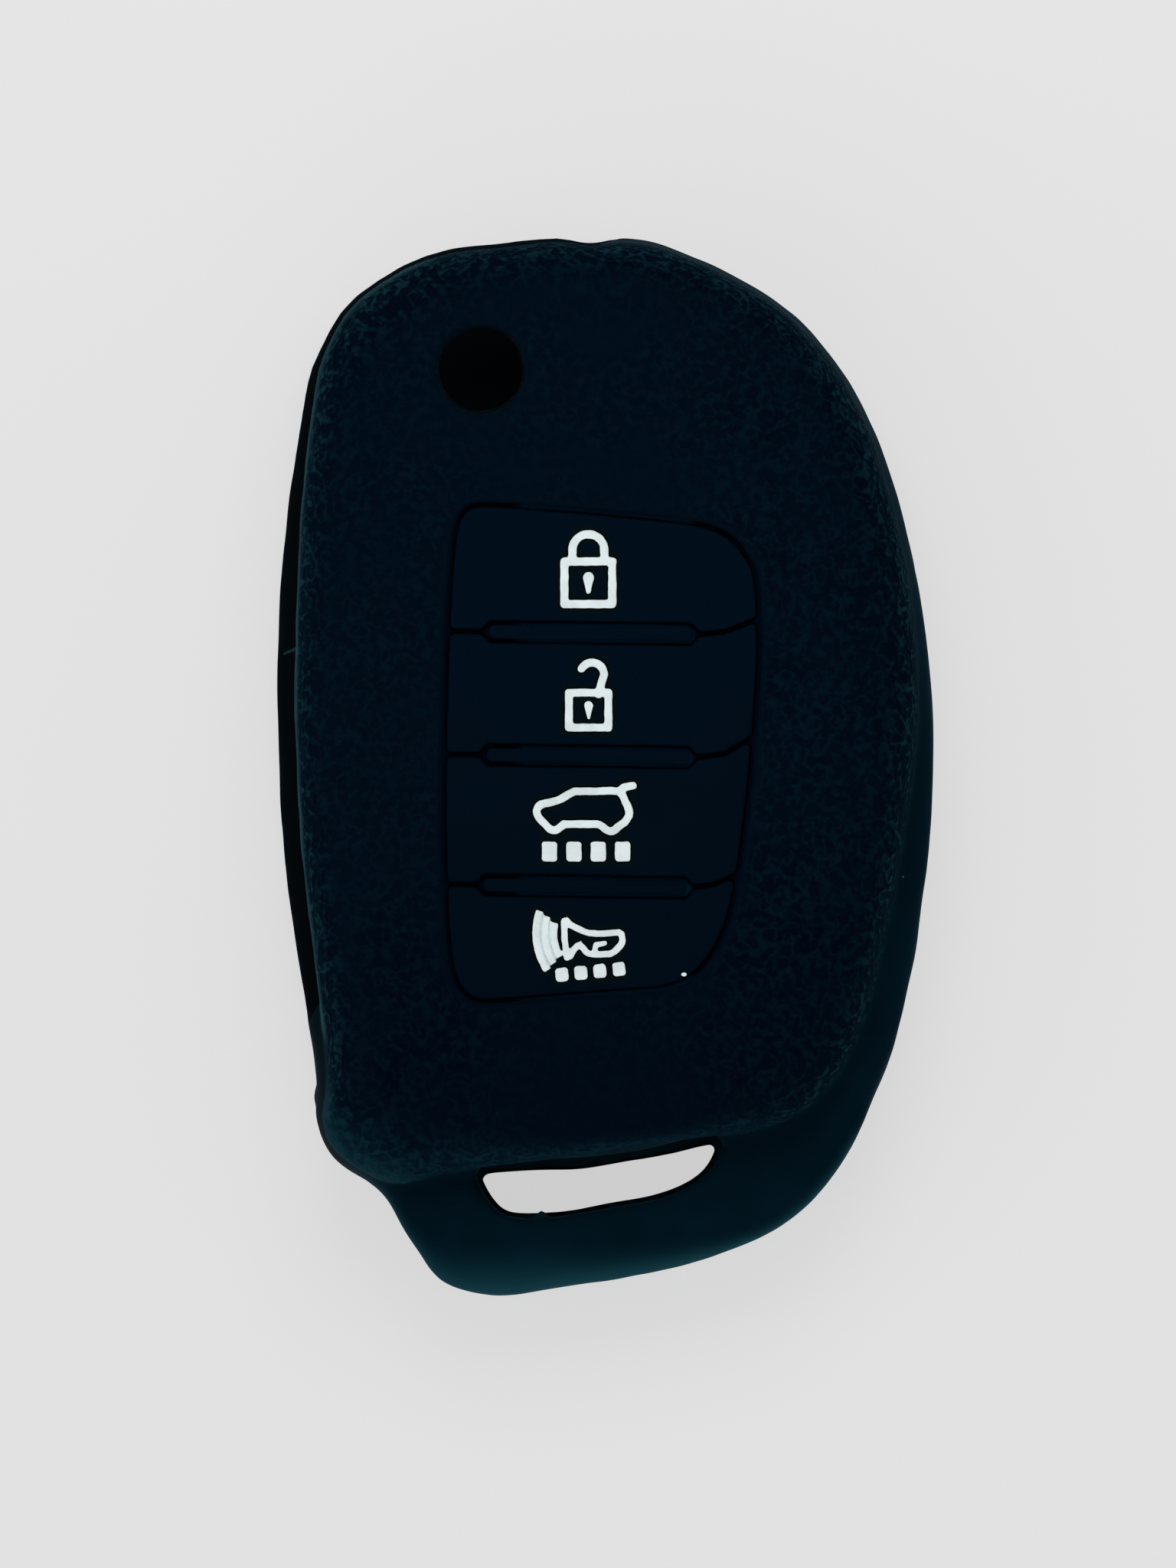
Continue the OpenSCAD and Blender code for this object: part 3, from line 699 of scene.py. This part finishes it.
ridges = ramp(tree, maths(tree, "ABSOLUTE", maths(tree, "SUBTRACT", worms.outputs["Fac"], 0.5)),
              0.0, 0.12, 1.0, 0.0)
lumps = add(tree, "ShaderNodeTexNoise", {"Vector": bent, "Scale": 1 / (0.7 * MM), "Detail": 1.0})
parts = [maths(tree, "MULTIPLY", value, share) for value, share in (
    (pebbles, 0.2), (ridges, 0.3), (lumps.outputs["Fac"], 0.9))]
grain = maths(tree, "ADD", maths(tree, "ADD", *parts[:2]), parts[2])
patches = add(tree, "ShaderNodeTexNoise", {"Vector": place, "Scale": 1 / (6 * MM), "Detail": 2.0})
sideways = maths(tree, "ADD", ramp(tree, x, -15 * MM, -5 * MM, 0.5, 0.3),
                 rises(tree, x, 2, 13, 0.45))
patchy = ramp(tree, patches.outputs["Fac"], 0.35, 0.65, -0.15, 0.15)
edge_grain = maths(tree, "MULTIPLY", on_crown, ramp(tree, maths(tree, "ADD", x, y),
                                                    0, 35 * MM, 0.95, 1.35))
depth = maths(tree, "MAXIMUM", edge_grain, maths(tree, "ADD", sideways, patchy))
below_pads = maths(tree, "MULTIPLY", falls(tree, y, -24, -14),
                   falls(tree, maths(tree, "ABSOLUTE", x), 6, 13, 0.5))
depth = maths(tree, "MULTIPLY", depth, maths(tree, "SUBTRACT", 1.0, below_pads))
strength = maths(tree, "MULTIPLY", grained, depth)

# %% [markdown]
# Two bump nodes follow one another: the fine tooth everywhere, then the grain. The grain's
# valleys are painted darker, as shade, and its tops lighter, as light, and the highest tops on
# the steep part of the crown get a pale teal painted glint. Off the crown the face is painted
# darker toward its lower end, as shade. The rest follows the photo, edge by edge. The slot's
# front lip, the lower left corner of the face, its foot above the key-ring slot and the end of
# the tail get painted highlights, and the rim on the lower left gets painted shade. The grooves
# are a dark navy there, not black. Little light reaches their floor here, so its colour is
# lifted as painted light, and most of all beside the bars. Their walls and edges get painted
# shade, darker than the face.

# %% Colour of the cover
fine = add(tree, "ShaderNodeBump", {
    "Strength": 0.5, "Distance": 0.02 * MM, "Height": moulded.outputs["Tooth"]})
coarse = add(tree, "ShaderNodeBump", {
    "Strength": 1.0, "Distance": 0.3 * MM, "Height": maths(tree, "MULTIPLY", grain, strength),
    "Normal": fine.outputs[0]})
tree.links.new(coarse.outputs[0], shader.inputs["Normal"])
# Painted shade and light: darker navy in the grain's valleys, lighter on its tops, and off the
# crown the face painted darker toward its lower end.
relief = ramp(tree, grain, 0.45, 0.97)
even = maths(tree, "MULTIPLY", maths(tree, "SUBTRACT", 1.0, strength), 0.42)
relief = maths(tree, "ADD", maths(tree, "MULTIPLY", relief, strength), even)
shaded = maths(tree, "MULTIPLY", maths(tree, "SUBTRACT", 1.0, on_crown),
               falls(tree, y, -28, 0, 0.22))
relief = maths(tree, "SUBTRACT", relief, shaded)
colour = mixed(tree, relief, NAVY_VALLEY_PAINTED_SHADE, NAVY_TOP_PAINTED_LIGHT)
# Painted glints: the highest grain tops on the steep crown turn pale teal.
painted_glints = maths(tree, "MULTIPLY", ramp(tree, grain, 0.7, 0.95),
               falls(tree, z, 15.5, 18.0))
colour = mixed(tree, maths(tree, "MULTIPLY", painted_glints, grained), colour, TEAL_GLINT_PAINTED)
smooth = mixed(tree, ramp(tree, moulded.outputs["Clouds"], 0.35, 0.7), SMOOTH_TEAL,
               SMOOTH_TEAL_PALE)
colour = mixed(tree, on_face, smooth, colour)


def all_of(tree, *masks):
    product = masks[0]
    for mask in masks[1:]:
        product = maths(tree, "MULTIPLY", product, mask)
    return product


# Painted highlight along the blade slot's front lip.
slot_lip_painted_highlight = all_of(
    tree, rises(tree, z, 12.5, 12.9), falls(tree, z, 14.4, 15.8), falls(tree, x, -16, -12),
    rises(tree, y, -22, -20), ramp(tree, moulded.outputs["Clouds"], 0.35, 0.6, 0.55, 1.0))
# Painted highlight on the lower left corner of the face.
to_corner = maths(tree, "MULTIPLY", maths(tree, "ADD", x, y), -math.sqrt(0.5))
corner_edge_painted_highlight = all_of(
    tree, rises(tree, to_corner, 31.8, 34.2), rises(tree, z, 12.4, 12.8),
    falls(tree, z, 15, 17.4), ramp(tree, grain, 0.4, 0.9, 0.45, 1.0))
# Painted highlight on the end of the tail.
tail_end_painted_highlight = all_of(tree, falls(tree, y, -30, -27), falls(tree, z, 10.4, 11.9),
                  ramp(tree, x, -17 * MM, -8 * MM, 0.35, 1.0))
# Painted highlight on the face's foot above the key-ring slot.
crown_foot_painted_highlight = all_of(
    tree, falls(tree, y, -28.5, -25.5, 0.65), rises(tree, z, 12.6, 13.2),
    falls(tree, z, 16.5, 18.4), ramp(tree, grain, 0.4, 0.9, 0.3, 1.0))
high_up = rises(tree, z, 17.2, 17.5)
# Painted shade on the groove's edges and walls.
groove_side_painted_shade = all_of(tree, falls(tree, beside, 0.1, 0.35, 0.5), high_up)
in_groove = all_of(tree, falls(tree, beside, 0.5, 0.9), high_up)
groove_wall_painted_shade = all_of(tree, in_groove, falls(tree, z, 18.5, 18.9))
# Painted light: the groove floor's colour is lifted, most of all beside the bars.
groove_floor = all_of(tree, in_groove, falls(tree, z, 17.7, 17.9))
groove_floor_painted_light = mixed(tree, rises(tree, maths(tree, "ABSOLUTE", x), 6.2, 7.2),
                   BAR_GROOVE_NAVY_PAINTED_LIGHT, GROOVE_NAVY_PAINTED_LIGHT)
# Painted shade on the rim at the lower left.
dark_rim_painted_shade = all_of(tree, falls(tree, x, -21, -18.5), falls(tree, z, 12.2, 12.6))
for mask, tint in ((slot_lip_painted_highlight, LIP_TEAL_PAINTED_HIGHLIGHT), (corner_edge_painted_highlight, CORNER_TEAL_PAINTED_HIGHLIGHT), (tail_end_painted_highlight, TAIL_TEAL_PAINTED_HIGHLIGHT),
                   (dark_rim_painted_shade, RIM_PAINTED_SHADE), (crown_foot_painted_highlight, FOOT_TEAL_PAINTED_HIGHLIGHT), (groove_side_painted_shade, GROOVE_SIDE_PAINTED_SHADE),
                   (groove_wall_painted_shade, GROOVE_SIDE_PAINTED_SHADE), (groove_floor, groove_floor_painted_light)):
    colour = mixed(tree, mask, colour, tint)

# %% [markdown]
# Last come the lint, the hollow's painted shade, and the painted shade of the round hole's edge.

# %% Colour of the hollow, and the roughness
to_hole = add(tree, "ShaderNodeVectorMath", {
    0: add(tree, "ShaderNodeCombineXYZ", {"X": x, "Y": y}).outputs[0], 1: (HOLE.x, HOLE.y, 0)},
    operation="DISTANCE").outputs["Value"]
hole_edge = falls(tree, to_hole, 3.1, 3.75)
colour = mixed(tree, hole_edge, colour, HOLE_SHADE)
colour = mixed(tree, maths(tree, "MULTIPLY", moulded.outputs["Lint"], 0.5), colour, LINT_GREY)
inside = add(tree, "ShaderNodeAttribute", attribute_name="inside").outputs["Fac"]
# Painted shade: the hollow's walls, and most of the blade slot's ledge, are painted near black.
colour = mixed(tree, inside, colour, HOLLOW_BLACK_PAINTED_SHADE)
tree.links.new(colour, shader.inputs["Base Color"])
satin = ramp(tree, moulded.outputs["Clouds"], 0.3, 0.75, 0.58, 0.68)
tree.links.new(maths(tree, "ADD", satin, maths(tree, "MULTIPLY", on_face, 0.22)),
               shader.inputs["Roughness"])
print(cover_silicone.name, len(tree.nodes), "nodes")

# %% [markdown]
# The pads' silicone
#
# The pads and bars are of the same rubber, but they are smooth and plain matte: clouds, the fine
# tooth and a few specks, and a paler navy toward the upper end, which is painted light. Their
# sides, deep in the grooves, and their rounded edges get painted shade, darker than their tops.
# A narrow border round each symbol is greyer, as in the photo.

# %% Material: pad silicone
PAD_NAVY = (0.0006, 0.0033, 0.0073, 1)
# Also painted light: the pads and bars turn to this paler navy toward the upper end.
PAD_NAVY_PALE_AND_PAINTED_LIGHT = (0.0006, 0.0041, 0.0093, 1)
BORDER_NAVY = (0.0017, 0.0040, 0.0048, 1)
pad_silicone, tree, shader, place, moulded = new_material(
    "pad silicone", 6 * MM, 0.1 * MM, 0.012,
    Specular_IOR_Level=0.004, Specular_Tint=TEAL_SHINE)
bump = add(tree, "ShaderNodeBump", {
    "Strength": 0.4, "Distance": 0.012 * MM, "Height": moulded.outputs["Tooth"]})
tree.links.new(bump.outputs[0], shader.inputs["Normal"])
axis = add(tree, "ShaderNodeSeparateXYZ", {"Vector": place})
# Painted light toward the upper end, plus a random paleness from the clouds.
pale = maths(tree, "ADD", rises(tree, axis.outputs["Y"], -14, 16, 0.6),
             ramp(tree, moulded.outputs["Clouds"], 0.3, 0.7, 0.0, 0.4))
colour = mixed(tree, pale, PAD_NAVY, PAD_NAVY_PALE_AND_PAINTED_LIGHT)
# Painted shade on the sides and rounded edges of the pads and bars.
colour = mixed(tree, falls(tree, axis.outputs["Z"], 18.8, 18.97, 0.4), colour, GROOVE_SIDE_PAINTED_SHADE)
beside = add(tree, "ShaderNodeAttribute", attribute_name="from_white").outputs["Fac"]
colour = mixed(tree, falls(tree, beside, 0.15, 0.55), colour, BORDER_NAVY)
colour = mixed(tree, maths(tree, "MULTIPLY", moulded.outputs["Lint"], 0.5), colour,
               LINT_GREY)
tree.links.new(colour, shader.inputs["Base Color"])
tree.links.new(ramp(tree, moulded.outputs["Clouds"], 0.3, 0.75, 0.46, 0.56),
               shader.inputs["Roughness"])
print(pad_silicone.name, len(tree.nodes), "nodes")

# %% [markdown]
# The white inlay
#
# White silicone is a cool, matte white, a little greyer in slow patches, and with dark specks
# in its tooth.

# %% Material: white inlay
INLAY_WHITE = (0.66, 0.735, 0.75, 1)
INLAY_GREY = (0.57, 0.64, 0.655, 1)
SPECK_GREY = (0.2, 0.22, 0.24, 1)
white_inlay, tree, shader, place, moulded = new_material(
    "white inlay", 1.4 * MM, 0.09 * MM, 0.05, Specular_IOR_Level=0.3)
bump = add(tree, "ShaderNodeBump", {
    "Strength": 0.5, "Distance": 0.02 * MM, "Height": moulded.outputs["Tooth"]})
tree.links.new(bump.outputs[0], shader.inputs["Normal"])
colour = mixed(tree, ramp(tree, moulded.outputs["Clouds"], 0.35, 0.7), INLAY_WHITE, INLAY_GREY)
colour = mixed(tree, maths(tree, "MULTIPLY", moulded.outputs["Lint"], 0.4), colour, SPECK_GREY)
tree.links.new(colour, shader.inputs["Base Color"])
tree.links.new(ramp(tree, moulded.outputs["Clouds"], 0.3, 0.75, 0.5, 0.62),
               shader.inputs["Roughness"])
print(white_inlay.name, len(tree.nodes), "nodes")

# %% [markdown]
# A finish on every piece, and on the CAD nodes as well, which other tools may show.

# %% Assign the materials
FINISH = {"cover_silicone": cover_silicone, "pad_silicone": pad_silicone,
          "white_inlay": white_inlay}
slots = {part["node"]: part["material_slot"] for part in frame["record"]["subparts"]}
for name, node in frame["nodes"].items():
    for slot in node.material_slots:
        slot.material = FINISH[slots[name]]
for piece in [*still, *pads.values(), *inlays.values(), whisker, drop]:
    piece.data.materials.clear()
    piece.data.materials.append(FINISH[piece["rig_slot"]])

# %% [markdown]
# Floor, light and camera
#
# The cover lies on a plain pale floor. The camera sees most of the floor's brightness as one
# fixed grey and the rest as lit paper, so the floor stays even and keeps a faint shadow.

# %% Floor
PAPER_GREY = (0.8, 0.8, 0.8, 1)
FIXED_GREY = (0.756, 0.756, 0.756, 1)
FIXED_SHARE = 0.8
form = bmesh.new()
bmesh.ops.create_grid(form, x_segments=1, y_segments=1, size=2.5)
mesh = bpy.data.meshes.new("floor")
form.to_mesh(mesh)
form.free()
floor = bpy.data.objects.new("floor", mesh)
bpy.context.scene.collection.objects.link(floor)
paper = bpy.data.materials.new("pale floor")
paper.use_nodes = True
tree = paper.node_tree
matt = next(n for n in tree.nodes if n.type == "BSDF_PRINCIPLED")
matt.inputs["Base Color"].default_value = PAPER_GREY
matt.inputs["Roughness"].default_value = 0.9
matt.inputs["Specular IOR Level"].default_value = 0.0
glow = add(tree, "ShaderNodeEmission", {"Color": FIXED_GREY})
ray = add(tree, "ShaderNodeLightPath")
straight = maths(tree, "MAXIMUM", maths(tree, "MAXIMUM", ray.outputs["Is Camera Ray"],
                                        ray.outputs["Is Glossy Ray"]),
                 ray.outputs["Is Transmission Ray"])
blend = add(tree, "ShaderNodeMixShader", {
    0: maths(tree, "MULTIPLY", straight, FIXED_SHARE), 1: matt.outputs[0], 2: glow.outputs[0]})
tree.links.new(blend.outputs[0], next(
    n for n in tree.nodes if n.type == "OUTPUT_MATERIAL").inputs["Surface"])
mesh.materials.append(paper)

# %% [markdown]
# An even white sky lights the cover from all round.

# %% Sky
SKY_STRENGTH = 0.45
world = bpy.data.worlds.new("sky")
bpy.context.scene.world = world
world.use_nodes = True
sky = next(n for n in world.node_tree.nodes if n.type == "BACKGROUND")
sky.inputs["Color"].default_value = (1, 1, 1, 1)
sky.inputs["Strength"].default_value = SKY_STRENGTH

# %% [markdown]
# Three large lamps stand low round the cover and a small one stands over its top end, so the
# face stays dark and the lips and the rim catch a thin light.

# %% Lamps
def lamp(name, azimuth, elevation, distance, size, power):
    """A square lamp that looks at the cover. Azimuth 0 is the photograph's right side."""
    a, e = math.radians(azimuth), math.radians(elevation)
    back = Vector((math.cos(a) * math.cos(e), math.sin(a) * math.cos(e), math.sin(e)))
    data = bpy.data.lights.new(name, "AREA")
    data.size = size
    data.energy = power
    thing = bpy.data.objects.new(name, data)
    thing.location = back * distance
    thing.rotation_mode = "QUATERNION"
    thing.rotation_quaternion = (-back).to_track_quat("-Z", "Y")
    bpy.context.scene.collection.objects.link(thing)
    return thing


lamp("left lamp", 195, 25, 1.0, 0.9, 3)
lamp("right lamp", 0, 20, 1.0, 0.9, 1.4)
lamp("near lamp", -100, 25, 1.0, 0.9, 2.9)
lamp("far lamp", 90, 60, 0.25, 0.14, 0.3)

# %% [markdown]
# The camera looks straight down from four metres away, so nearer and farther parts keep nearly
# one scale. It stands a little off the cover's middle, so that the cover lies in the frame
# where it does in the photo.

# %% Camera
PIXELS_PER_MM = 16.86
FRAME_LONG = 2048 / PIXELS_PER_MM * MM
MIDDLE_Z = 14 * MM
DISTANCE = 4.0
OFF_CENTRE_PIXELS = (-22.4, -23)
camera = bpy.data.cameras.new("camera")
camera.sensor_width = 36
camera.lens = camera.sensor_width * DISTANCE / FRAME_LONG
camera.clip_start = 0.01
camera.clip_end = 10
viewer = bpy.data.objects.new("camera", camera)
viewer.location = (OFF_CENTRE_PIXELS[0] / PIXELS_PER_MM * MM,
                   OFF_CENTRE_PIXELS[1] / PIXELS_PER_MM * MM, MIDDLE_Z + DISTANCE)
bpy.context.scene.collection.objects.link(viewer)
bpy.context.scene.camera = viewer
bpy.context.scene.view_settings.view_transform = "Standard"
